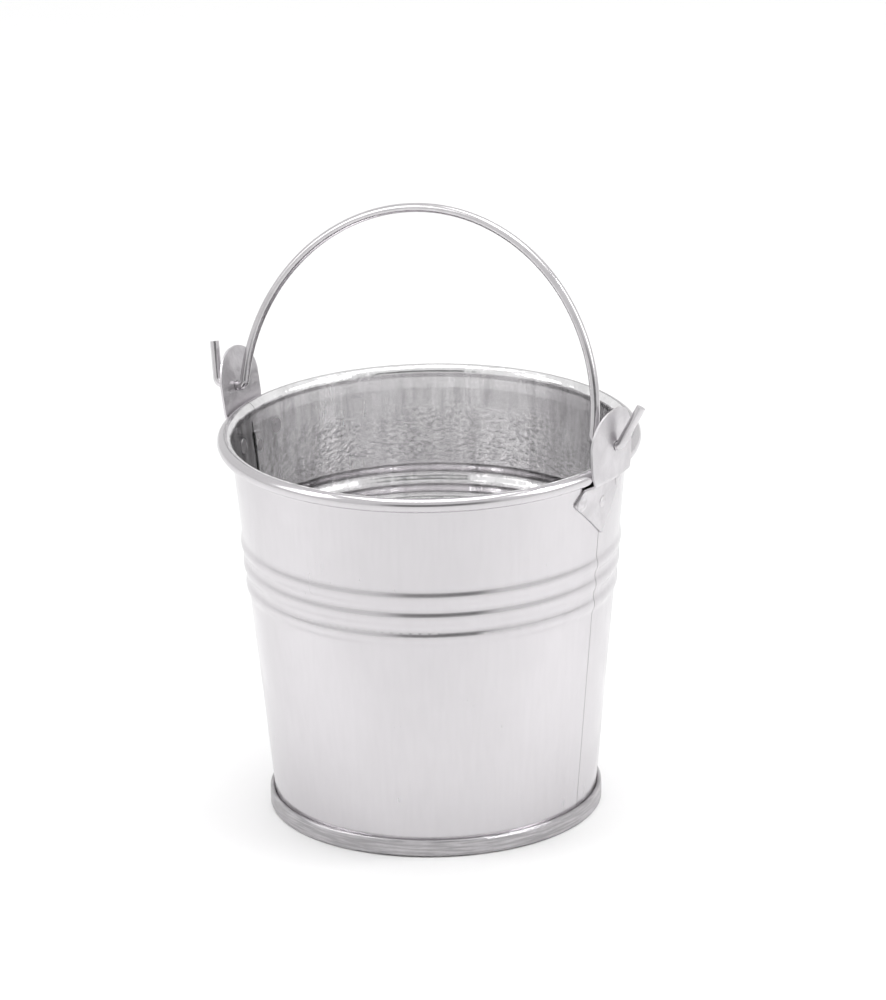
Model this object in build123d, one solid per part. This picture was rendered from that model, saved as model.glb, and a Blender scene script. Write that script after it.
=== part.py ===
from build123d import *
import math
import os

# A small tinplate pail: two half shells, an interlocked bottom, two ears and a swinging wire bail.
# Units are millimetres. Z is up, the floor is z = 0, and the ears sit on the X axis.

# Overall sizes
rim_diameter = 82.0             # outside of the curled rim
rim_height = 76.0               # floor to the top of the rim
base_diameter = 64.9            # outside of the double seam at the foot
sheet = 0.28                    # thickness of the wall and bottom sheet

# Curled rim
curl_radius = 1.42              # outside radius of the hollow curl
curl_end_angle = 35.0           # how far the curl turns in past its lowest point
flare_width = 0.3               # how far the wall kicks out to meet the curl
flare_height = 2.9              # from the start of the kick to the curl's centre
flare_run = 2.2                 # height of the kick's slanted part
flare_bend = 2.6

# Stiffening ridges rolled into the wall
ridge_count = 3
ridge_pitch = 4.2
ridge_width = 4.1
ridge_rise = 0.45
top_ridge_drop = 21.6           # rim top down to the middle of the top ridge

# Double seam at the foot
seam_height = 3.5
seam_gap = 0.02                 # slack between the folded layers
hook_lap_clearance = 0.25       # from a hook's raw edge to the fold it sits in
panel_bend = 0.6                # bend between the bottom panel and its wall
panel_drop = 0.3                # the bottom panel's middle, below the top of the seam
knee_bend = 1.0                 # bend where the wall leaves the seam
knee_rise = 0.3                 # that bend's corner above the seam

# Side joints: the two half shells lap here, and the ears are welded over the laps
joint_forward = 1.6             # degrees, both joints in front of the pail's side-to-side line
lap_width = 1.5                 # tab behind the front shell
lap_gap = 0.02
joggle_width = 0.45
butt_gap = 0.12                 # between the two shells' edges
lap_foot = 1.2                  # start of the lap above the knee
lap_head = 1.0                  # end of the lap below the flare

# Ears
ear_sheet = 0.4
ear_gap = 0.02
ear_half_width = 7.3
ear_rise = 11.0                 # above the rim
ear_corner_radius = 6.6
ear_waist_half_width = 6.2
ear_shoulder_bend = 3.0         # where the head narrows to the waist
ear_waist_drop = 3.9            # below the rim
ear_waist_bend = 0.6
ear_wing_half_width = 9.1
ear_wing_drop = 6.2             # below the rim
ear_wing_bend = 0.9
ear_tip_drop = 15.2             # below the rim
ear_lean_left = 7.5             # degrees, outwards
ear_lean_right = 1.5
ear_tilt_left = 0.0             # degrees, head towards the front, about the middle weld
ear_tilt_right = 5.0
ear_blank_angle = 20.0          # half the width of the curved strip each ear is cut from, in degrees
ear_step_bend = 0.8
ear_step_foot = 0.1             # start of the step, below where the wall kicks out
ear_step_head = 0.15            # end of the step, below the bottom of the curl

# Spot welds holding each ear
weld_diameter = 2.9
weld_fit = 0.01
weld_drop = 6.4                 # below the rim
weld_offset = 6.8               # each side of the ear's middle
middle_weld_diameter = 2.3
middle_weld_drop = 8.4
weld_proud_inside = 0.04        # beyond the wall
weld_proud_outside = 0.06       # beyond the ear
weld_ring_width = 0.35          # raised ring round the electrode's dish
weld_dish = 0.08

# Bail
wire_diameter = 1.8
hinge_rise = 3.5                # above the rim
hinge_forward = 1.7             # in front of the pail's axis
hinge_clearance = 0.1           # radial, wire in ear
bail_play = 2.2                 # how far the bail can slide each way along its hinge
bail_rest_gap = 0.7             # left arm to left ear at rest, the bail having slid that way
bail_lean = 15.5                # degrees back from upright at rest
arm_inside_bend = 0.3           # inside of the bend where an arm turns out through its ear
hook_inside_bend = 0.2
hook_ear_gap = 0.2              # right hook to right ear at rest
hook_height = 7.9
arch_straight = 0.3             # straight part of an arm between its bend and the arch
hook_lean_left = 13.0
hook_lean_right = 24.0


def unit(dx, dy):
    length = math.hypot(dx, dy)
    return dx / length, dy / length


def bent_edges(corners, radii, offset=0.0):
    """Edges of a path through corner points with a bend at each one, moved sideways by offset."""
    edges = []
    last = len(corners) - 1
    directions = [unit(b[0] - a[0], b[1] - a[1]) for a, b in zip(corners, corners[1:])]
    start_dir = directions[0]
    here = (corners[0][0] - start_dir[1] * offset, corners[0][1] + start_dir[0] * offset)
    for index in range(1, last):
        before = directions[index - 1]
        after = directions[index]
        cross = before[0] * after[1] - before[1] * after[0]
        turn = math.atan2(cross, before[0] * after[0] + before[1] * after[1])
        side = 1.0 if turn > 0 else -1.0
        radius = radii[index - 1]
        tangent = radius * math.tan(abs(turn) / 2)
        x, y = corners[index]
        arc_start = (x - before[0] * tangent, y - before[1] * tangent)
        centre = (arc_start[0] - before[1] * radius * side, arc_start[1] + before[0] * radius * side)
        reach = radius - offset * side

        def on_arc(part):
            angle = turn * part
            nx = before[1] * side
            ny = -before[0] * side
            rx = nx * math.cos(angle) - ny * math.sin(angle)
            ry = nx * math.sin(angle) + ny * math.cos(angle)
            return centre[0] + rx * reach, centre[1] + ry * reach

        first, middle, final = on_arc(0.0), on_arc(0.5), on_arc(1.0)
        if math.dist(here, first) > 1e-5:
            edges.append(Line(here, first))
        if reach > 1e-5:
            edges.append(ThreePointArc(first, middle, final))
        here = final
    end_dir = directions[-1]
    end = (corners[last][0] - end_dir[1] * offset, corners[last][1] + end_dir[0] * offset)
    if math.dist(here, end) > 1e-5:
        edges.append(Line(here, end))
    return edges


def sheet_section(corners, radii, low, high):
    """Cross-section of bent sheet in the XZ plane, between two offsets from its middle line."""
    one = bent_edges(corners, radii, low)
    two = bent_edges(corners, radii, high)
    caps = [Line(one[0] @ 0, two[0] @ 0), Line(one[-1] @ 1, two[-1] @ 1)]
    outline = Wire(one + two + caps)
    return Plane.XZ * make_face(outline)


def turned(section, start, end):
    """Section revolved about Z from one azimuth to another, in degrees."""
    return Rot(0, 0, start) * revolve(section, Axis.Z, end - start)


def cut_outline(corners, radii):
    """Closed, symmetric outline in the YZ plane from the corners of its right half."""
    half = bent_edges(corners, radii)
    mirrored = [mirror(edge, Plane.YZ).edge() for edge in half]
    return Plane.YZ * make_face(Wire(half + mirrored))


# Middle lines of the folded layers in the foot seam, from the inside out
layer = sheet + seam_gap
wall_foot_radius = base_diameter / 2 - sheet / 2 - 3 * layer
panel_wall_radius = wall_foot_radius - layer
bottom_hook_radius = wall_foot_radius + layer
wall_hook_radius = wall_foot_radius + 2 * layer
seam_skin_radius = wall_foot_radius + 3 * layer
wall_fold_z = 1.5 * sheet + seam_gap
seam_top_z = seam_height - sheet / 2
knee_z = seam_height + knee_rise

# Middle line of the rim
curl_mid = curl_radius - sheet / 2
curl_centre_radius = rim_diameter / 2 - curl_radius
curl_centre_z = rim_height - curl_radius
rim_wall_radius = curl_centre_radius - curl_mid
cone_top_radius = rim_wall_radius - flare_width
cone_top_z = curl_centre_z - flare_height
cone_angle = math.atan2(cone_top_radius - wall_foot_radius, cone_top_z - knee_z)


def cone_radius(z):
    """Radius of the middle of the wall sheet at a height on the plain cone."""
    part = (z - knee_z) / (cone_top_z - knee_z)
    return wall_foot_radius + part * (cone_top_radius - wall_foot_radius)


def ridge_corners():
    """Corner points and bend radii of the ridges, from the lowest up."""
    half = ridge_width / 2
    slope = 2 * math.atan(ridge_rise / half)
    bend = half / (2 * math.sin(slope))
    foot = half - bend * math.tan(slope / 2)
    peak = ridge_rise + bend * (1 / math.cos(slope) - 1)
    along = (math.sin(cone_angle), math.cos(cone_angle))
    out = (math.cos(cone_angle), -math.sin(cone_angle))
    corners = []
    radii = []
    for number in reversed(range(ridge_count)):
        z = rim_height - top_ridge_drop - number * ridge_pitch
        centre = (cone_radius(z), z)
        for step, rise in ((-foot, 0.0), (0.0, peak), (foot, 0.0)):
            corners.append((centre[0] + along[0] * step + out[0] * rise,
                            centre[1] + along[1] * step + out[1] * rise))
            radii.append(bend)
    return corners, radii


# Wall section, from the raw edge of its foot hook up to the end of the rim curl
ridges, ridge_bends = ridge_corners()
kick_top_z = cone_top_z + flare_run
hook_edge_z = seam_top_z - layer - hook_lap_clearance
curl_exit = math.radians(curl_end_angle)
curl_lead = curl_mid * math.tan(curl_exit / 2)
curl_low_z = curl_centre_z - curl_mid
wall_corners = (
    [(wall_hook_radius, hook_edge_z), (wall_hook_radius, wall_fold_z), (wall_foot_radius, wall_fold_z),
     (wall_foot_radius, knee_z)]
    + ridges
    + [(cone_top_radius, cone_top_z), (rim_wall_radius, kick_top_z),
       (rim_wall_radius, curl_centre_z + curl_mid),
       (curl_centre_radius + curl_mid, curl_centre_z + curl_mid),
       (curl_centre_radius + curl_mid, curl_low_z),
       (curl_centre_radius - curl_lead, curl_low_z),
       (curl_centre_radius - curl_lead - curl_lead * math.cos(curl_exit),
        curl_low_z + curl_lead * math.sin(curl_exit))]
)
wall_bends = [layer, layer, knee_bend] + ridge_bends + [flare_bend, flare_bend] + [curl_mid] * 4
wall_section = sheet_section(wall_corners, wall_bends, -sheet / 2, sheet / 2)

# Lap sections: the tab alone, and the step where it joins its own shell
lap_low_z = knee_z + lap_foot
lap_high_z = cone_top_z - lap_head
lap_corners = [(cone_radius(lap_low_z), lap_low_z)] + ridges + [(cone_radius(lap_high_z), lap_high_z)]
tab_far = 1.5 * sheet + lap_gap
tab_section = sheet_section(lap_corners, ridge_bends, 0.5 * sheet + lap_gap, tab_far)
joggle_section = sheet_section(lap_corners, ridge_bends, -sheet / 2, tab_far)

mean_radius = (rim_diameter + base_diameter) / 4
butt_angle = math.degrees(butt_gap / 2 / mean_radius)
joggle_angle = math.degrees(joggle_width / mean_radius)
tab_angle = math.degrees(lap_width / mean_radius)

right_joint = -joint_forward
left_joint = 180 + joint_forward
wall_front_half = turned(wall_section, left_joint + butt_angle, 360 + right_joint - butt_angle)
wall_back_half = turned(wall_section, right_joint + butt_angle, left_joint - butt_angle)
step_end = butt_angle + joggle_angle
for tab_span, step_span in (
    ((right_joint - tab_angle, right_joint + step_end), (right_joint + butt_angle, right_joint + step_end)),
    ((left_joint - step_end, left_joint + tab_angle), (left_joint - step_end, left_joint - butt_angle)),
):
    wall_back_half += turned(tab_section, *tab_span)
    wall_back_half += turned(joggle_section, *step_span)

# Bottom: recessed panel, its own wall, and the skin and hook of the double seam
bottom_corners = [
    (0, seam_height - panel_drop),
    (panel_wall_radius, seam_height - panel_drop),
    (panel_wall_radius, sheet / 2),
    (seam_skin_radius, sheet / 2),
    (seam_skin_radius, seam_top_z),
    (bottom_hook_radius, seam_top_z),
    (bottom_hook_radius, wall_fold_z + layer + hook_lap_clearance),
]
bottom_bends = [panel_bend, layer, layer, layer, layer]
bottom = turned(sheet_section(bottom_corners, bottom_bends, -sheet / 2, sheet / 2), 0, 360)

# Ear section: up the wall, out over the curl, then up with a slight outward lean
wall_to_ear = (sheet / 2 + ear_gap + ear_sheet / 2) / math.cos(cone_angle)
curl_to_ear = curl_radius + ear_gap + ear_sheet / 2


def ear_radius(z, lean):
    """Middle of the leaning upper plate, which just clears the curl."""
    return curl_centre_radius + curl_to_ear / math.cos(lean) + (z - curl_centre_z) * math.tan(lean)


overshoot = 1.0                 # how far a blank or cutter runs past what it is cut to
ear_foot_z = rim_height - ear_tip_drop - overshoot
step_low_z = cone_top_z - ear_step_foot
step_high_z = rim_height - 2 * curl_radius - ear_step_head
ear_top_z = rim_height + ear_rise


def ear_section(lean):
    corners = [
        (cone_radius(ear_foot_z) + wall_to_ear, ear_foot_z),
        (cone_radius(step_low_z) + wall_to_ear, step_low_z),
        (ear_radius(step_high_z, lean), step_high_z),
        (ear_radius(ear_top_z + overshoot, lean), ear_top_z + overshoot),
    ]
    return sheet_section(corners, [ear_step_bend] * 2, -ear_sheet / 2, ear_sheet / 2)


ear_outline = cut_outline(
    [(0, rim_height - ear_tip_drop),
     (ear_wing_half_width, rim_height - ear_wing_drop),
     (ear_waist_half_width, rim_height - ear_waist_drop),
     (ear_half_width, rim_height),
     (ear_half_width, ear_top_z),
     (0, ear_top_z)],
    [ear_wing_bend, ear_waist_bend, ear_shoulder_bend, ear_corner_radius],
)
hinge_z = rim_height + hinge_rise
hinge_hole = Cylinder(wire_diameter / 2 + hinge_clearance, rim_diameter * 2)
hinge_hole = Pos(0, -hinge_forward, hinge_z) * Rot(0, 90, 0) * hinge_hole
pivot_z = rim_height - middle_weld_drop


def weld_places(joint, tilt):
    """Frames of one ear's spot welds on the wall, each with its Z along the wall's outward normal."""
    places = []
    rise = middle_weld_drop - weld_drop
    spots = ((-weld_offset, rise, weld_diameter), (weld_offset, rise, weld_diameter),
             (0.0, 0.0, middle_weld_diameter))
    for across, above, diameter in spots:
        offset = across * math.cos(tilt) - above * math.sin(tilt)
        z = pivot_z + across * math.sin(tilt) + above * math.cos(tilt)
        radius = cone_radius(z)
        azimuth = math.degrees(math.asin(offset / radius)) + joint
        frame = Rot(0, 0, azimuth) * Pos(radius, 0, z) * Rot(0, 90 + math.degrees(cone_angle), 0)
        places.append((frame, diameter, across == 0.0))
    return places


def weld_nugget(diameter, through_tab):
    """Fused slug through the sheets, slightly proud each side with a shallow electrode dish."""
    inside = (tab_far if through_tab else sheet / 2) + weld_proud_inside
    outside = sheet / 2 + ear_gap + ear_sheet + weld_proud_outside
    radius = diameter / 2
    corners = [(0, -inside), (radius, -inside), (radius, outside), (radius - weld_ring_width, outside),
               (radius - 2 * weld_ring_width, outside - weld_dish), (0, outside - weld_dish)]
    profile = Plane.XZ * make_face(Polyline(*corners, close=True))
    return revolve(profile, Axis.Z, 360)


ears = []
welds = []
weld_hole_depth = 2 * (tab_far + ear_gap + ear_sheet + overshoot)
for joint, lean, tilt in (
    (right_joint, math.radians(ear_lean_right), math.radians(ear_tilt_right)),
    (left_joint, math.radians(ear_lean_left), -math.radians(ear_tilt_left)),
):
    blank = turned(ear_section(lean), joint - ear_blank_angle, joint + ear_blank_angle)
    cutter = Pos(0, 0, -pivot_z) * extrude(ear_outline, rim_diameter, dir=(1, 0, 0))
    cutter = Rot(0, 0, joint) * Pos(0, 0, pivot_z) * Rot(math.degrees(tilt), 0, 0) * cutter
    ear = (blank & cutter) - hinge_hole
    for frame, diameter, through_tab in weld_places(joint, tilt):
        hole = frame * Cylinder(diameter / 2 + weld_fit, weld_hole_depth)
        ear -= hole
        wall_front_half -= hole
        wall_back_half -= hole
        welds.append(frame * weld_nugget(diameter, through_tab))
    ears.append(ear)
right_ear, left_ear = ears
ear_welds = Compound(children=[weld.solid() for weld in welds])

# Bail: half a ring whose arms turn out through the ears and up into hooks, built upright
wire_radius = wire_diameter / 2
right_plate_x = math.sqrt(ear_radius(hinge_z, math.radians(ear_lean_right)) ** 2 - hinge_forward ** 2)
left_plate_x = -math.sqrt(ear_radius(hinge_z, math.radians(ear_lean_left)) ** 2 - hinge_forward ** 2)
arm_radius = (right_plate_x - left_plate_x - ear_sheet) / 2 - wire_radius - bail_play
bail_shift = left_plate_x + ear_sheet / 2 + bail_rest_gap + wire_radius + arm_radius
arm_bend = wire_radius + arm_inside_bend
hook_bend = wire_radius + hook_inside_bend
arch_foot = arm_bend + arch_straight

# The right hook leaves its ear at a slant, so it clears the plate from the top of the hole up
hook_slant = math.radians(hook_lean_right)
hole_top = wire_radius + hinge_clearance
plate_slant = math.radians(ear_lean_right)
slant_gain = hole_top * (math.tan(hook_slant) - math.tan(plate_slant))
hook_face_offset = wire_radius / math.cos(hook_slant) - slant_gain
hook_x = right_plate_x + ear_sheet / 2 - bail_shift + hook_face_offset + hook_ear_gap


def bail_arm(side, hook_lean):
    """One arm, from the top of its corner bend through the ear and up the hook."""
    tip_x = hook_x + hook_height * math.tan(math.radians(hook_lean))
    corners = [(arm_radius, arch_foot), (arm_radius, 0), (hook_x, 0), (tip_x, hook_height)]
    edges = bent_edges(corners, [arm_bend, hook_bend])
    return [Plane.XZ * (edge if side > 0 else mirror(edge, Plane.YZ).edge()) for edge in edges]


arch_top = (0, arm_radius + arch_foot)
arch = Plane.XZ * ThreePointArc((-arm_radius, arch_foot), arch_top, (arm_radius, arch_foot))
bail_path = Wire([arch] + bail_arm(1, hook_lean_right) + bail_arm(-1, hook_lean_left))
wire_circle = Plane(origin=bail_path @ 0, z_dir=bail_path % 0) * Circle(wire_radius)
bail_upright = sweep(wire_circle, path=bail_path)
bail = Pos(bail_shift, -hinge_forward, hinge_z) * Rot(-bail_lean, 0, 0) * bail_upright

os.makedirs("parts", exist_ok=True)
pieces = {
    "wall_front_half": wall_front_half,
    "wall_back_half": wall_back_half,
    "bottom": bottom,
    "left_ear": left_ear,
    "right_ear": right_ear,
    "ear_welds": ear_welds,
    "bail": bail,
}
for name, shape in pieces.items():
    export_step(shape, f"parts/{name}.step")
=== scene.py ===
import math

import bmesh
import bpy
from bpy.props import FloatProperty, FloatVectorProperty, PointerProperty
from mathutils import Matrix, Vector


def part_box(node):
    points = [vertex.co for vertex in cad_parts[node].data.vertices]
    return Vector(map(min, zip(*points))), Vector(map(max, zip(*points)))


bl_info = {
    "name": "Tinplate Pail",
    "version": (1, 0, 0),
    "blender": (4, 5, 0),
    "location": "3D View > Sidebar > Pail",
    "description": "Finishes a small tinplate pail and sets it on a plain white table",
    "category": "Object",
}

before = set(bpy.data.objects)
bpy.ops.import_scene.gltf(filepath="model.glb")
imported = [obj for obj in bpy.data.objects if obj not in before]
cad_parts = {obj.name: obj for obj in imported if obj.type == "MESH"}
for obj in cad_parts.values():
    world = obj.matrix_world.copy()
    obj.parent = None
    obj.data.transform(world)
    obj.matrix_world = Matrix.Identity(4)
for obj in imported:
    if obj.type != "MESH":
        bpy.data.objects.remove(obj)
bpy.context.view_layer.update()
RIM_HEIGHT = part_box("wall_front_half")[1].z
SEAM_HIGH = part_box("bottom")[1]
SEAM_HEIGHT = SEAM_HIGH.z
SEAM_RADIUS = SEAM_HIGH.x
PEBBLED_MIDDLE = RIM_HEIGHT - 0.0135            # height of the pebbled band inside the wall
JOINT_FORWARD = math.radians(1.6)               # the side joint in front of the side-to-side line
LAP_REACH = math.radians(2.34)                  # from the joint to the raw edge of its lap
LAP_EDGE_AZIMUTH = JOINT_FORWARD + LAP_REACH
LAP_LINE_HALF_WIDTH = 0.0065                    # radians round the wall


# ---------------------------------------------------------------- sizes and colours a user would change

class PailTinplate(bpy.types.PropertyGroup):
    """The wall and bottom sheet."""
    colour: FloatVectorProperty(
        name="Sheet colour", description="Colour of the bright tinned sheet",
        subtype="COLOR", min=0.0, max=1.0, default=(0.635, 0.617, 0.635))
    inside_colour: FloatVectorProperty(
        name="Inside colour", description="Colour of the unhandled inside of the sheet",
        subtype="COLOR", min=0.0, max=1.0, default=(0.875, 0.868, 0.875))
    seam_colour: FloatVectorProperty(
        name="Seam colour", description="Colour of the rolled seam at the foot",
        subtype="COLOR", min=0.0, max=1.0, default=(0.40, 0.389, 0.40))
    gloss: FloatProperty(
        name="Sheet roughness", description="How dull the sheet is",
        subtype="FACTOR", min=0.02, max=1.0, default=0.17)
    grain: FloatProperty(
        name="Grain size", description="Width of the grain left by rolling the sheet",
        unit="LENGTH", subtype="DISTANCE", min=0.0001, max=0.01, default=0.0009)


class PailEars(bpy.types.PropertyGroup):
    """The ears and their welds."""
    colour: FloatVectorProperty(
        name="Ear colour", description="Colour of the ears",
        subtype="COLOR", min=0.0, max=1.0, default=(0.68, 0.662, 0.68))
    roughness: FloatProperty(
        name="Ear roughness", description="How dull the ears are",
        subtype="FACTOR", min=0.02, max=1.0, default=0.38)
    weld_colour: FloatVectorProperty(
        name="Weld colour", description="Colour of the spot welds",
        subtype="COLOR", min=0.0, max=1.0, default=(0.56, 0.546, 0.56))


class PailWire(bpy.types.PropertyGroup):
    """The bail's wire."""
    colour: FloatVectorProperty(
        name="Wire colour", description="Colour of the bail's wire",
        subtype="COLOR", min=0.0, max=1.0, default=(0.66, 0.643, 0.66))
    roughness: FloatProperty(
        name="Wire roughness", description="How dull the wire is",
        subtype="FACTOR", min=0.02, max=1.0, default=0.16)


class PailStudio(bpy.types.PropertyGroup):
    """The table, the lights and the camera."""
    floor_colour: FloatVectorProperty(
        name="Table colour", description="Colour of the table the pail stands on",
        subtype="COLOR", min=0.0, max=1.0, default=(0.86, 0.86, 0.86))
    room_light: FloatProperty(
        name="Room light", description="Strength of the light from the white room",
        min=0.0, max=5.0, default=0.85)
    lamp_light: FloatProperty(
        name="Lamp light", description="Strength of the soft lamps",
        min=0.0, max=5.0, default=1.0)
    camera_distance: FloatProperty(
        name="Camera distance", description="From the camera to the pail's axis",
        unit="LENGTH", subtype="DISTANCE", min=0.3, max=10.0, default=1.5)


# ---------------------------------------------------------------- node helpers

def put(tree, node, name, value):
    """Sets or links one input of a node."""
    socket = node.inputs[name] if isinstance(name, int) else next(
        s for s in node.inputs if s.name.lower() == name.lower() and s.enabled)
    if isinstance(value, bpy.types.NodeSocket):
        tree.links.new(value, socket)
    else:
        socket.default_value = value


def math_node(tree, operation, *values):
    node = tree.nodes.new("ShaderNodeMath")
    node.operation = operation
    for index, value in enumerate(values):
        put(tree, node, index, value)
    return node.outputs[0]


def remap(tree, value, from_low, from_high, to_low=0.0, to_high=1.0, smooth=False):
    """Value moved from one range to another, clamped."""
    node = tree.nodes.new("ShaderNodeMapRange")
    node.interpolation_type = "SMOOTHSTEP" if smooth else "LINEAR"
    for index, number in enumerate((value, from_low, from_high, to_low, to_high)):
        put(tree, node, index, number)
    return node.outputs[0]


def noise(tree, vector, scale, detail=3.0, roughness=0.5, distortion=0.0):
    node = tree.nodes.new("ShaderNodeTexNoise")
    for name, value in (("Vector", vector), ("Scale", scale), ("Detail", detail),
                        ("Roughness", roughness), ("Distortion", distortion)):
        put(tree, node, name, value)
    return node.outputs["Fac"]


def mix_colour(tree, factor, one, two):
    node = tree.nodes.new("ShaderNodeMix")
    node.data_type = "RGBA"
    put(tree, node, 0, factor)
    put(tree, node, 6, one)
    put(tree, node, 7, two)
    return node.outputs[2]


def new_group(name, inputs, outputs):
    """An empty shader node group, its inputs and its outputs."""
    group = bpy.data.node_groups.new(name, "ShaderNodeTree")
    for socket_name, kind, default in inputs:
        socket = group.interface.new_socket(name=socket_name, in_out="INPUT", socket_type=kind)
        if default is not None:
            socket.default_value = default
    for socket_name, kind in outputs:
        group.interface.new_socket(name=socket_name, in_out="OUTPUT", socket_type=kind)
    return group, group.nodes.new("NodeGroupInput"), group.nodes.new("NodeGroupOutput")


def use_group(tree, group, **inputs):
    node = tree.nodes.new("ShaderNodeGroup")
    node.node_tree = group
    for name, value in inputs.items():
        put(tree, node, name.replace("_", " "), value)
    return node


# ---------------------------------------------------------------- effects shared by the finishes

def stretched(tree, place, x, y, z):
    node = tree.nodes.new("ShaderNodeVectorMath")
    node.operation = "MULTIPLY"
    put(tree, node, 0, place)
    put(tree, node, 1, (x, y, z))
    return node.outputs[0]


def drawn_lines_group():
    """Fine lines left by rolling or drawing, long in one direction. Size is the width of a line."""
    group, given, made = new_group(
        "Drawn lines",
        [("Place", "NodeSocketVector", None), ("Size", "NodeSocketFloat", 0.001)],
        [("Lines", "NodeSocketFloat")])
    scale = math_node(group, "DIVIDE", 1.0, given.outputs["Size"])
    put(group, made, "Lines", noise(group, given.outputs["Place"], scale, 4.0, 0.6))


def handling_group():
    """Marks from handling: soft cloudy patches and a few thin scratches."""
    group, given, made = new_group(
        "Handling marks",
        [("Place", "NodeSocketVector", None), ("Size", "NodeSocketFloat", 0.01)],
        [("Clouds", "NodeSocketFloat"), ("Scratches", "NodeSocketFloat"), ("Specks", "NodeSocketFloat")])
    scale = math_node(group, "DIVIDE", 1.0, given.outputs["Size"])
    clouds = noise(group, given.outputs["Place"], scale, 4.0, 0.55, 0.4)
    put(group, made, "Clouds", remap(group, clouds, 0.36, 0.64, smooth=True))
    bent = noise(group, given.outputs["Place"], math_node(group, "MULTIPLY", scale, 1.7), 2.0, 0.4, 1.2)
    line = math_node(group, "ABSOLUTE", math_node(group, "SUBTRACT", bent, 0.5))
    thin = remap(group, line, 0.0, 0.006, 1.0, 0.0)
    where = noise(group, given.outputs["Place"], math_node(group, "MULTIPLY", scale, 0.8), 1.0, 0.5)
    put(group, made, "Scratches", math_node(group, "MULTIPLY", thin, remap(group, where, 0.55, 0.65)))
    specks = noise(group, given.outputs["Place"], math_node(group, "MULTIPLY", scale, 22.0), 2.0, 0.6)
    put(group, made, "Specks", remap(group, specks, 0.62, 0.75))


def inside_mask(tree, place):
    """1 on faces that look towards the pail's axis, 0 on those that look away."""
    product = tree.nodes.new("ShaderNodeVectorMath")
    product.operation = "DOT_PRODUCT"
    put(tree, product, 0, stretched(tree, place, 1.0, 1.0, 0.0))
    put(tree, product, 1, tree.nodes.new("ShaderNodeTexCoord").outputs["Normal"])
    return remap(tree, product.outputs["Value"], -0.004, 0.004, 1.0, 0.0)


def bump(tree, height, strength, distance, normal=None):
    node = tree.nodes.new("ShaderNodeBump")
    put(tree, node, "Strength", strength)
    put(tree, node, "Distance", distance)
    put(tree, node, "Height", height)
    if normal is not None:
        put(tree, node, "Normal", normal)
    return node.outputs["Normal"]


def new_metal(name):
    """A bare material with a metal shader, and its object coordinates."""
    material = bpy.data.materials.new(name)
    material.use_nodes = True
    tree = material.node_tree
    shader = tree.nodes["Principled BSDF"]
    shader.inputs["Metallic"].default_value = 1.0
    place = tree.nodes.new("ShaderNodeTexCoord").outputs["Object"]
    return material, tree, shader, place


def shade(colour, factor):
    """A colour made darker or lighter, with its alpha."""
    return tuple(min(1.0, part * factor) for part in colour) + (1.0,)


def lap_painted_shade(tree, place, inside):
    """Painted shade: a thin dark line inside the wall, along the raw edge of the lap on the left, where the
    lap leaves a shadow gap.
    """
    parts = tree.nodes.new("ShaderNodeSeparateXYZ")
    put(tree, parts, 0, place)
    behind = math_node(tree, "MULTIPLY", parts.outputs["Y"], -1.0)
    azimuth = math_node(tree, "ARCTAN2", behind, math_node(tree, "MULTIPLY", parts.outputs["X"], -1.0))
    off_line = math_node(tree, "ABSOLUTE", math_node(tree, "SUBTRACT", azimuth, LAP_EDGE_AZIMUTH))
    line = remap(tree, off_line, LAP_LINE_HALF_WIDTH * 0.4, LAP_LINE_HALF_WIDTH, 1.0, 0.0, smooth=True)
    below_rim = remap(tree, parts.outputs["Z"], RIM_HEIGHT - 0.0035, RIM_HEIGHT - 0.003, 1.0, 0.0)
    above_foot = remap(tree, parts.outputs["Z"], SEAM_HEIGHT + 0.001, SEAM_HEIGHT + 0.002)
    line = math_node(tree, "MULTIPLY", line, math_node(tree, "MULTIPLY", below_rim, above_foot))
    return math_node(tree, "MULTIPLY", line, inside)


def finish_node(node_name, material):
    """Puts a finish on every slot of a CAD node."""
    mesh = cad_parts[node_name].data
    if not mesh.materials:
        mesh.materials.append(material)
    for index in range(len(mesh.materials)):
        mesh.materials[index] = material


# ---------------------------------------------------------------- finishes

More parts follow.
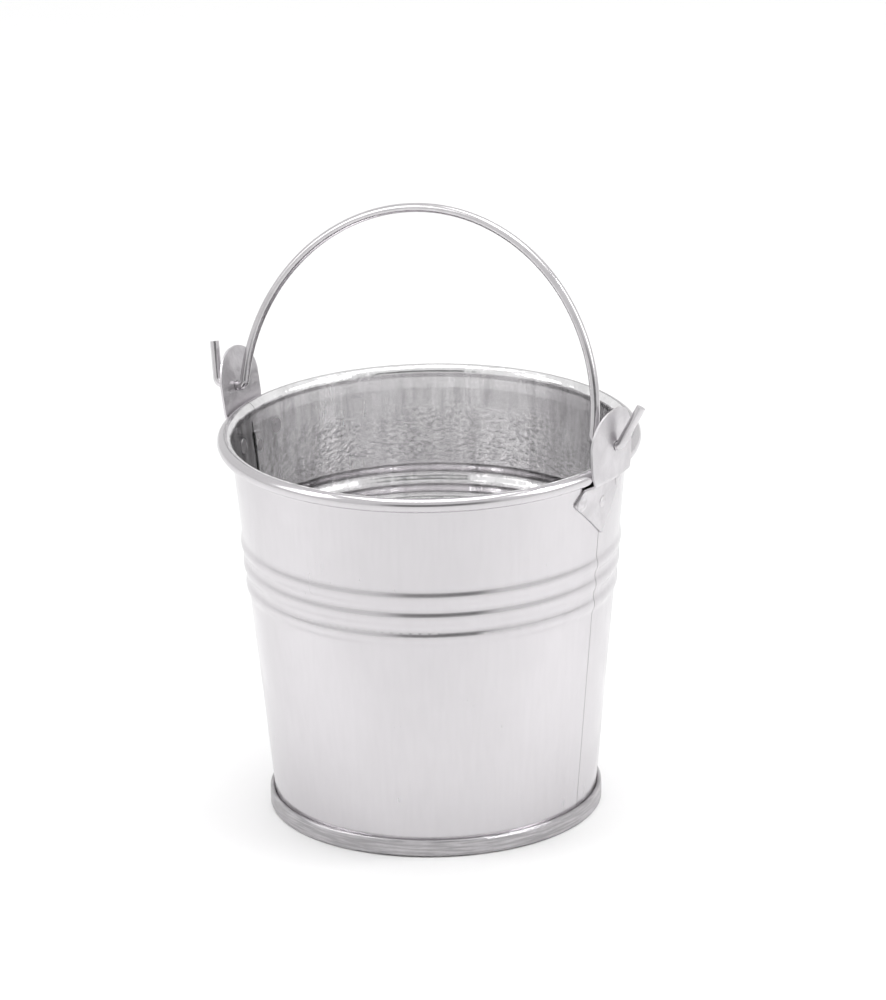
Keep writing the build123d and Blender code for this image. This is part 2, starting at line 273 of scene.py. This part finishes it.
def tinplate_material(settings):
    """Bright rolled sheet. Outside it is smooth; inside it has upright streaks and a pebbled band, whose dark
    speckle is partly a pebbled texture and partly a painted reflection of the wall's ridges.
    """
    material, tree, shader, place = new_metal("tinplate")
    inside = inside_mask(tree, place)
    upright = stretched(tree, place, 1.0, 1.0, 0.07)
    grain = use_group(tree, bpy.data.node_groups["Drawn lines"], Place=upright, Size=settings.grain)
    marks = use_group(tree, bpy.data.node_groups["Handling marks"], Place=place, Size=0.014)

    outer = mix_colour(tree, remap(tree, grain.outputs["Lines"], 0.35, 0.65, 0.0, 0.25),
                       (*settings.colour, 1.0), shade(settings.colour, 0.9))
    outer = mix_colour(tree, remap(tree, marks.outputs["Clouds"], 0.0, 1.0, 0.0, 0.25), outer,
                       shade(settings.colour, 0.94))
    streaks = noise(tree, stretched(tree, place, 1.0, 1.0, 0.10), 240.0, 4.0, 0.65)
    inner = mix_colour(tree, remap(tree, streaks, 0.38, 0.62), shade(settings.inside_colour, 0.93),
                       shade(settings.inside_colour, 1.08))
    parts = tree.nodes.new("ShaderNodeSeparateXYZ")
    put(tree, parts, 0, place)
    from_middle = math_node(tree, "ABSOLUTE", math_node(tree, "SUBTRACT", parts.outputs["Z"], PEBBLED_MIDDLE))
    pebbled_band_mask = remap(tree, from_middle, 0.003, 0.008, 1.0, 0.1, smooth=True)
    pebbles = noise(tree, stretched(tree, place, 1.0, 1.0, 1.4), 1100.0, 2.0, 0.5)
    patches = noise(tree, stretched(tree, place, 1.0, 1.0, 0.6), 90.0, 2.0, 0.5)
    # Dark speckle in the pebbled band: partly a pebbled texture, partly a painted reflection of the wall's
    # ridges.
    pebbling_and_painted_reflection = math_node(tree, "MULTIPLY", pebbled_band_mask, remap(tree, pebbles, 0.45, 0.62))
    pebbling_and_painted_reflection = math_node(tree, "MULTIPLY", pebbling_and_painted_reflection, remap(tree, patches, 0.42, 0.58, 0.1, 1.0))
    inner = mix_colour(tree, pebbling_and_painted_reflection, inner, shade(settings.inside_colour, 0.82))
    inner = mix_colour(tree, remap(tree, patches, 0.55, 0.72, 0.0, 0.5, smooth=True), inner,
                       (0.99, 0.985, 0.99, 1.0))
    colour = mix_colour(tree, inside, outer, inner)
    # Painted shade: an almost black line along the lap's raw edge inside the wall.
    colour = mix_colour(tree, lap_painted_shade(tree, place, inside), colour, (0.03, 0.03, 0.03, 1.0))
    put(tree, shader, "Base Color", colour)

    rough = math_node(tree, "ADD", settings.gloss,
                      remap(tree, marks.outputs["Clouds"], 0.0, 1.0, -0.03, 0.07))
    rough = math_node(tree, "ADD", rough, remap(tree, grain.outputs["Lines"], 0.3, 0.7, -0.02, 0.04))
    put(tree, shader, "Roughness", rough)

    broad = noise(tree, stretched(tree, place, 1.0, 1.0, 0.12), 110.0, 2.0, 0.5)
    broad = math_node(tree, "MULTIPLY", broad, remap(tree, inside, 0.0, 1.0, 0.10, 1.0))
    narrow = math_node(tree, "MULTIPLY", streaks, remap(tree, inside, 0.0, 1.0, 0.04, 1.0))
    pebbles = math_node(tree, "MULTIPLY", pebbles, pebbled_band_mask)
    pebbles = math_node(tree, "MULTIPLY", pebbles, remap(tree, inside, 0.0, 1.0, 0.04, 1.0))
    normal = bump(tree, broad, 0.8, 0.0010)
    normal = bump(tree, narrow, 0.7, 0.00022, normal)
    normal = bump(tree, pebbles, 0.7, 0.00016, normal)
    put(tree, shader, "Normal", bump(tree, grain.outputs["Lines"], 0.15, 0.00001, normal))
    return material


def seam_material(settings):
    """The bottom's sheet: a dull rolled seam with lines round it, and a brighter panel inside."""
    material, tree, shader, place = new_metal("bottom_tinplate")
    parts = tree.nodes.new("ShaderNodeSeparateXYZ")
    put(tree, parts, 0, place)
    flat = tree.nodes.new("ShaderNodeCombineXYZ")
    put(tree, flat, 0, parts.outputs["X"])
    put(tree, flat, 1, parts.outputs["Y"])
    distance = tree.nodes.new("ShaderNodeVectorMath")
    distance.operation = "LENGTH"
    put(tree, distance, 0, flat.outputs[0])
    outside = remap(tree, distance.outputs["Value"], SEAM_RADIUS - 0.0012, SEAM_RADIUS - 0.0005, smooth=True)
    around = stretched(tree, place, 0.05, 0.05, 1.0)
    lines = use_group(tree, bpy.data.node_groups["Drawn lines"], Place=around, Size=0.00035)
    marks = use_group(tree, bpy.data.node_groups["Handling marks"], Place=place, Size=0.008)
    worn = mix_colour(tree, remap(tree, lines.outputs["Lines"], 0.42, 0.58),
                      (*settings.seam_colour, 1.0), shade(settings.seam_colour, 1.45))
    worn = mix_colour(tree, math_node(tree, "MULTIPLY", marks.outputs["Clouds"], 0.3), worn,
                      shade(settings.seam_colour, 0.7))
    put(tree, shader, "Base Color", mix_colour(tree, outside, (*settings.colour, 1.0), worn))
    rough = math_node(tree, "ADD", remap(tree, outside, 0.0, 1.0, settings.gloss + 0.04, 0.34),
                      remap(tree, lines.outputs["Lines"], 0.3, 0.7, -0.05, 0.08))
    put(tree, shader, "Roughness", rough)
    normal = bump(tree, lines.outputs["Lines"], 0.9, 0.00010)
    normal = bump(tree, marks.outputs["Clouds"], 0.12, 0.0002, normal)
    put(tree, shader, "Normal", normal)
    return material


def ear_material(settings):
    """Satin tinned steel, cut and bent cold: clouds, scratches and a faint grain."""
    material, tree, shader, place = new_metal("ear_steel")
    marks = use_group(tree, bpy.data.node_groups["Handling marks"], Place=place, Size=0.006)
    grain = use_group(tree, bpy.data.node_groups["Drawn lines"],
                      Place=stretched(tree, place, 1.0, 1.0, 0.15), Size=0.0006)
    colour = mix_colour(tree, math_node(tree, "MULTIPLY", marks.outputs["Clouds"], 0.55),
                        (*settings.colour, 1.0), shade(settings.colour, 0.82))
    colour = mix_colour(tree, math_node(tree, "MULTIPLY", marks.outputs["Scratches"], 0.5), colour,
                        (0.35, 0.35, 0.36, 1.0))
    colour = mix_colour(tree, math_node(tree, "MULTIPLY", marks.outputs["Specks"], 0.3), colour,
                        (0.45, 0.45, 0.46, 1.0))
    put(tree, shader, "Base Color", colour)
    rough = math_node(tree, "ADD", settings.roughness,
                      remap(tree, marks.outputs["Clouds"], 0.0, 1.0, -0.06, 0.08))
    rough = math_node(tree, "ADD", rough, remap(tree, grain.outputs["Lines"], 0.3, 0.7, -0.03, 0.05))
    put(tree, shader, "Roughness", rough)
    normal = bump(tree, marks.outputs["Clouds"], 0.25, 0.0003)
    normal = bump(tree, grain.outputs["Lines"], 0.25, 0.00005, normal)
    put(tree, shader, "Normal", normal)
    return material


def weld_material(settings):
    """Fused spots: dull, pitted, a little darker than the sheet."""
    material, tree, shader, place = new_metal("weld_steel")
    marks = use_group(tree, bpy.data.node_groups["Handling marks"], Place=place, Size=0.0022)
    pits = noise(tree, place, 3200.0, 3.0, 0.6)
    colour = mix_colour(tree, marks.outputs["Clouds"], (*settings.weld_colour, 1.0),
                        shade(settings.weld_colour, 1.3))
    put(tree, shader, "Base Color", colour)
    put(tree, shader, "Roughness", remap(tree, pits, 0.3, 0.7, 0.26, 0.42))
    normal = bump(tree, pits, 0.4, 0.00008)
    put(tree, shader, "Normal", bump(tree, marks.outputs["Clouds"], 0.3, 0.0001, normal))
    return material


def wire_material(settings):
    """Drawn and tinned wire: fine lines, small rubbed patches."""
    material, tree, shader, place = new_metal("wire")
    marks = use_group(tree, bpy.data.node_groups["Handling marks"], Place=place, Size=0.004)
    fine = noise(tree, place, 1500.0, 4.0, 0.6)
    colour = mix_colour(tree, math_node(tree, "MULTIPLY", marks.outputs["Clouds"], 0.4),
                        (*settings.colour, 1.0), shade(settings.colour, 0.8))
    put(tree, shader, "Base Color", colour)
    rough = math_node(tree, "ADD", settings.roughness, remap(tree, fine, 0.3, 0.7, -0.04, 0.07))
    put(tree, shader, "Roughness", rough)
    put(tree, shader, "Normal", bump(tree, fine, 0.12, 0.00004))
    return material


# ---------------------------------------------------------------- operators

class PAIL_OT_effects(bpy.types.Operator):
    """Make the node groups that the finishes share"""
    bl_idname = "pail.effects"
    bl_label = "Shared effects"

    def execute(self, context):
        drawn_lines_group()
        handling_group()
        return {"FINISHED"}


class PAIL_OT_wall(bpy.types.Operator):
    """Finish the two halves of the wall"""
    bl_idname = "pail.wall"
    bl_label = "Wall"

    def execute(self, context):
        material = tinplate_material(context.scene.pail_tinplate)
        for name in ("wall_front_half", "wall_back_half"):
            finish_node(name, material)
        return {"FINISHED"}


class PAIL_OT_bottom(bpy.types.Operator):
    """Finish the bottom and the seam round the foot"""
    bl_idname = "pail.bottom"
    bl_label = "Bottom and seam"

    def execute(self, context):
        finish_node("bottom", seam_material(context.scene.pail_tinplate))
        return {"FINISHED"}


class PAIL_OT_ears(bpy.types.Operator):
    """Finish the ears and the spot welds that hold them"""
    bl_idname = "pail.ears"
    bl_label = "Ears and welds"

    def execute(self, context):
        settings = context.scene.pail_ears
        material = ear_material(settings)
        for name in ("left_ear", "right_ear"):
            finish_node(name, material)
        finish_node("ear_welds", weld_material(settings))
        return {"FINISHED"}


class PAIL_OT_bail(bpy.types.Operator):
    """Finish the bail's wire"""
    bl_idname = "pail.bail"
    bl_label = "Bail"

    def execute(self, context):
        finish_node("bail", wire_material(context.scene.pail_wire))
        return {"FINISHED"}


def soft_lamp(name, place, target, width, height, strength):
    """A soft rectangular lamp aimed at a point."""
    data = bpy.data.lights.new(name, "AREA")
    data.shape = "RECTANGLE"
    data.size = width
    data.size_y = height
    data.energy = strength * width * height
    lamp = bpy.data.objects.new(name, data)
    lamp.location = place
    aim = Vector(target) - Vector(place)
    lamp.rotation_euler = aim.to_track_quat("-Z", "Y").to_euler()
    bpy.context.scene.collection.objects.link(lamp)


def pool_lamp(name, place, target, strength):
    """A soft-edged spot that lifts a patch of the table beside the pail."""
    data = bpy.data.lights.new(name, "SPOT")
    data.energy = strength
    data.spot_size = math.radians(16)
    data.spot_blend = 1.0
    data.shadow_soft_size = 0.08
    lamp = bpy.data.objects.new(name, data)
    lamp.location = place
    lamp.rotation_euler = (target - place).to_track_quat("-Z", "Y").to_euler()
    bpy.context.scene.collection.objects.link(lamp)


def turned(vector, axis, angle):
    """A vector turned about an axis."""
    return Matrix.Rotation(angle, 3, axis) @ vector


VIEW_AZIMUTH = math.radians(28.7)
VIEW_ELEVATION = math.radians(20.47)
VIEW_ROLL = math.radians(1.13)
VIEW_PAN = math.radians(-0.094)
VIEW_TILT = math.radians(0.773)
VIEW_TARGET_HEIGHT = 0.040
LENS_PER_METRE = 277.28 / 1.5


def add_camera(distance):
    """Camera above and to the right of the front, looking down at the pail."""
    level, rise = math.cos(VIEW_ELEVATION), math.sin(VIEW_ELEVATION)
    place = Vector((0, -distance * level, VIEW_TARGET_HEIGHT + distance * rise))
    forward = Vector((0, level, -rise))
    right = Vector((1, 0, 0))
    up = right.cross(forward)
    right, forward = turned(right, up, VIEW_PAN), turned(forward, up, VIEW_PAN)
    up, forward = turned(up, right, VIEW_TILT), turned(forward, right, VIEW_TILT)
    right, up = turned(right, forward, VIEW_ROLL), turned(up, forward, VIEW_ROLL)
    look = Matrix((right, up, -forward)).transposed().to_4x4()
    data = bpy.data.cameras.new("camera")
    data.sensor_width = 36.0
    data.lens = LENS_PER_METRE * distance
    data.clip_start = 0.05
    data.clip_end = 50.0
    camera = bpy.data.objects.new("camera", data)
    bpy.context.scene.collection.objects.link(camera)
    camera.matrix_world = Matrix.Rotation(VIEW_AZIMUTH, 4, "Z") @ Matrix.Translation(place) @ look
    bpy.context.scene.camera = camera


# The room is white with one dim doorway in front of the pail: low side, high side and soft edge of each.
ROOM_COLOUR = (1.0, 1.0, 1.0, 1.0)
DOORWAY_COLOUR = (0.22, 0.22, 0.22, 1.0)
DOORWAY_SIDES = (math.radians(-24), math.radians(34), math.radians(9))
DOORWAY_HEIGHTS = (math.radians(2), math.radians(30), math.radians(7))


def soft_window(tree, value, low, high, edge):
    """1 between low and high, 0 outside, with soft edges."""
    opening = remap(tree, value, low - edge, low + edge, smooth=True)
    closing = remap(tree, value, high - edge, high + edge, 1.0, 0.0, smooth=True)
    return math_node(tree, "MULTIPLY", opening, closing)


def floor_material(colour):
    """A plain matt table."""
    material = bpy.data.materials.new("white_table")
    material.use_nodes = True
    tree = material.node_tree
    shader = tree.nodes["Principled BSDF"]
    shader.inputs["Base Color"].default_value = (*colour, 1.0)
    shader.inputs["Roughness"].default_value = 0.7
    shader.inputs["Specular IOR Level"].default_value = 0.1
    return material


class PAIL_OT_studio(bpy.types.Operator):
    """Set the pail on a plain white table in soft light, and place the camera"""
    bl_idname = "pail.studio"
    bl_label = "Table, lights and camera"

    def execute(self, context):
        settings = context.scene.pail_studio
        shape = bmesh.new()
        bmesh.ops.create_circle(shape, cap_ends=True, segments=96, radius=6.0)
        mesh = bpy.data.meshes.new("table")
        shape.to_mesh(mesh)
        shape.free()
        table = bpy.data.objects.new("table", mesh)
        context.scene.collection.objects.link(table)
        mesh.materials.append(floor_material(settings.floor_colour))

        world = bpy.data.worlds.new("room")
        context.scene.world = world
        world.use_nodes = True
        tree = world.node_tree
        background = tree.nodes["Background"]
        turn_back = tree.nodes.new("ShaderNodeVectorRotate")
        turn_back.rotation_type = "Z_AXIS"
        put(tree, turn_back, "Vector", tree.nodes.new("ShaderNodeTexCoord").outputs["Generated"])
        put(tree, turn_back, "Angle", -VIEW_AZIMUTH)
        parts = tree.nodes.new("ShaderNodeSeparateXYZ")
        put(tree, parts, 0, turn_back.outputs["Vector"])
        forward = math_node(tree, "MULTIPLY", parts.outputs["Y"], -1.0)
        side = math_node(tree, "ARCTAN2", parts.outputs["X"], forward)
        rise = math_node(tree, "ARCSINE", parts.outputs["Z"])
        doorway = math_node(tree, "MULTIPLY", soft_window(tree, side, *DOORWAY_SIDES),
                            soft_window(tree, rise, *DOORWAY_HEIGHTS))
        put(tree, background, "Color", mix_colour(tree, doorway, ROOM_COLOUR, DOORWAY_COLOUR))
        background.inputs["Strength"].default_value = settings.room_light

        turn = Matrix.Rotation(VIEW_AZIMUTH, 3, "Z")
        centre = (0.0, 0.0, 0.05)
        for name, place, width, height, strength in (
            ("overhead_lamp", (0.0, 0.1, 1.3), 0.8, 0.8, 9.0),
            ("left_lamp", (-0.9, -0.2, 0.7), 0.5, 0.6, 6.0),
            ("right_lamp", (0.8, -0.2, 0.7), 0.5, 0.6, 7.0),
        ):
            soft_lamp(name, turn @ Vector(place), centre, width, height, strength * settings.lamp_light)
        for name, place, target, strength in (
            ("left_pool", (-0.45, 0.0, 0.6), (-0.10, 0.0, 0.0), 8.0),
            ("right_pool", (0.45, 0.0, 0.6), (0.09, -0.01, 0.0), 9.0),
        ):
            pool_lamp(name, turn @ Vector(place), turn @ Vector(target), strength * settings.lamp_light)

        add_camera(settings.camera_distance)
        context.scene.view_settings.view_transform = "Standard"
        context.scene.view_settings.look = "None"
        return {"FINISHED"}


class PAIL_PT_panel(bpy.types.Panel):
    """The pail's pieces in the order they are finished"""
    bl_idname = "PAIL_PT_panel"
    bl_label = "Tinplate pail"
    bl_space_type = "VIEW_3D"
    bl_region_type = "UI"
    bl_category = "Pail"

    def draw(self, context):
        layout = self.layout
        for group_name, operators in PANEL_ROWS:
            box = layout.box()
            for operator in operators:
                box.operator(operator)
            group = getattr(context.scene, group_name)
            for name in group.bl_rna.properties.keys():
                if name not in ("rna_type", "name"):
                    box.prop(group, name)


PANEL_ROWS = (
    ("pail_tinplate", ("pail.effects", "pail.wall", "pail.bottom")),
    ("pail_ears", ("pail.ears",)),
    ("pail_wire", ("pail.bail",)),
    ("pail_studio", ("pail.studio",)),
)
SETTINGS = (
    ("pail_tinplate", PailTinplate),
    ("pail_ears", PailEars),
    ("pail_wire", PailWire),
    ("pail_studio", PailStudio),
)
CLASSES = tuple(group for _, group in SETTINGS) + (
    PAIL_OT_effects, PAIL_OT_wall, PAIL_OT_bottom, PAIL_OT_ears, PAIL_OT_bail, PAIL_OT_studio, PAIL_PT_panel)


def register():
    for cls in CLASSES:
        bpy.utils.register_class(cls)
    for name, group in SETTINGS:
        setattr(bpy.types.Scene, name, PointerProperty(type=group))


def unregister():
    for name, _ in SETTINGS:
        delattr(bpy.types.Scene, name)
    for cls in reversed(CLASSES):
        bpy.utils.unregister_class(cls)


def main():
    register()
    for _, operators in PANEL_ROWS:
        for operator in operators:
            group, name = operator.split(".")
            getattr(getattr(bpy.ops, group), name)()


if __name__ == "__main__":
    main()
